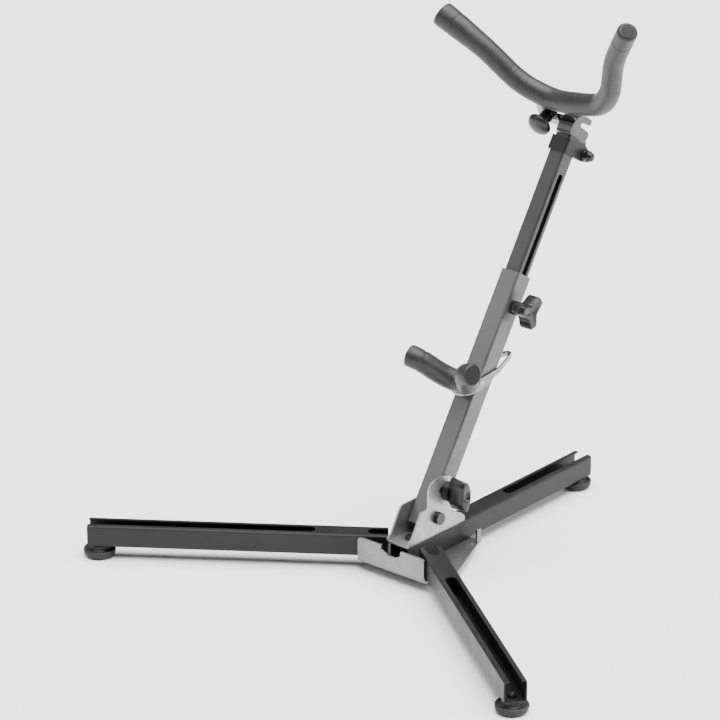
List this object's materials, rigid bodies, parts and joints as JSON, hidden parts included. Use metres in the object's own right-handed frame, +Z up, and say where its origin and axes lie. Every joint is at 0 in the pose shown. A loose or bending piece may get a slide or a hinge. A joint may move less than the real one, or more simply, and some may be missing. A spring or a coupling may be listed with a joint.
{
  "type": "saxophone stand",
  "caption": "Folding tripod floor stand with a raked telescopic mast, a padded upper fork and a padded lower rest that hold a wind instrument.",
  "frame": {"origin": "centre of the footprint on the floor, under the middle of the bounding box", "axes": "+Z up, +Y towards the rear leg, -Y towards the player's side of the fork, +X to the knob side"},
  "size_m": [0.6182, 0.526, 0.6133],
  "materials": {
    "black_paint": "satin black powder coat",
    "zinc": "bright zinc plating",
    "chrome": "polished plating",
    "dark_steel": "black oxide",
    "foot_rubber": "moulded matt rubber",
    "black_plastic": "glossy moulded plastic",
    "pad_foam": "soft matt foam sleeve"
  },
  "bodies": {
    "base": {"base_plate": "zinc", "upright_bracket": "zinc", "leg_rear": "black_paint", "foot_rear": "foot_rubber", "foot_screw_rear": "dark_steel", "foot_nut_rear": "zinc", "bracket_screw_front": "dark_steel", "bracket_screw_rear": "dark_steel", "bracket_nut_front": "zinc", "bracket_nut_rear": "zinc", "mast_pivot_pin": "dark_steel", "mast_pivot_nut": "dark_steel", "leg_pivot_bolt_left": "dark_steel", "leg_pivot_bolt_right": "dark_steel", "leg_pivot_washer_left": "zinc", "leg_pivot_washer_right": "zinc", "leg_pivot_nut_left": "zinc", "leg_pivot_nut_right": "zinc"},
    "left_leg": {"leg_left": "black_paint", "foot_left": "foot_rubber", "foot_screw_left": "dark_steel", "foot_nut_left": "zinc"},
    "right_leg": {"leg_right": "black_paint", "foot_right": "foot_rubber", "foot_screw_right": "dark_steel", "foot_nut_right": "zinc"},
    "lower_mast": {"mast_outer_tube": "black_paint", "hub_knob_collar": "black_plastic", "hub_bolt": "dark_steel", "height_bolt": "dark_steel"},
    "hub_knob": {"hub_knob": "black_plastic"},
    "height_knob": {"height_knob": "black_plastic"},
    "upper_mast": {"mast_inner_tube": "black_paint", "mast_end_cap": "black_plastic", "head_collar": "black_paint", "head_bolt": "dark_steel", "head_dome_nut": "black_plastic"},
    "head": {"head_lug": "chrome", "fork_knob_bolt": "dark_steel"},
    "fork": {"fork_plate": "chrome", "fork_rod": "dark_steel", "fork_sleeve": "pad_foam", "fork_tip_left": "pad_foam", "fork_tip_right": "pad_foam"},
    "fork_knob": {"fork_knob": "black_plastic"},
    "rest": {"support_band": "chrome", "support_rivet_left": "zinc", "support_rivet_right": "zinc", "support_rod": "dark_steel", "support_sleeve": "pad_foam", "support_tip_left": "pad_foam", "support_tip_right": "pad_foam"}
  },
  "joints": [
    {"name": "left_leg_fold", "type": "hinge", "parent": "base", "child": "left_leg", "pos_m": [-0.04064, -0.06564, 0.016], "axis": [0, 0, -1], "range_deg": [0, 125.6]},
    {"name": "right_leg_fold", "type": "hinge", "parent": "base", "child": "right_leg", "pos_m": [0.04064, -0.06564, 0.016], "axis": [0, 0, 1], "range_deg": [0, 125.6]},
    {"name": "mast_tilt", "type": "hinge", "parent": "base", "child": "lower_mast", "pos_m": [0, -0.02826, 0.06], "axis": [-1, 0, 0], "range_deg": [-18, 44]},
    {"name": "hub_knob_turn", "type": "hinge", "parent": "lower_mast", "child": "hub_knob", "pos_m": [0.0335, -0.01115, 0.08632], "axis": [1, 0, 0], "continuous": true},
    {"name": "height_knob_turn", "type": "hinge", "parent": "lower_mast", "child": "height_knob", "pos_m": [0.03, 0.1064, 0.26706], "axis": [1, 0, 0], "continuous": true},
    {"name": "mast_height", "type": "slide", "parent": "lower_mast", "child": "upper_mast", "axis": [0, 0.5452, 0.8383], "range_m": [-0.138, 0.013]},
    {"name": "head_tilt", "type": "hinge", "parent": "upper_mast", "child": "head", "pos_m": [0, 0.23103, 0.41098], "axis": [-1, 0, 0], "range_deg": [0, 60]},
    {"name": "fork_roll", "type": "hinge", "parent": "head", "child": "fork", "pos_m": [-0.0308, 0.22145, 0.45399], "axis": [0, -0.896, -0.444], "range_deg": [-12, 6]},
    {"name": "fork_knob_turn", "type": "hinge", "parent": "head", "child": "fork_knob", "pos_m": [-0.0308, 0.22145, 0.45399], "axis": [0, -0.896, -0.444], "continuous": true},
    {"name": "rest_slide", "type": "slide", "parent": "lower_mast", "child": "rest", "axis": [0, 0.5452, 0.8383], "range_m": [-0.07, 0.03]}
  ]
}
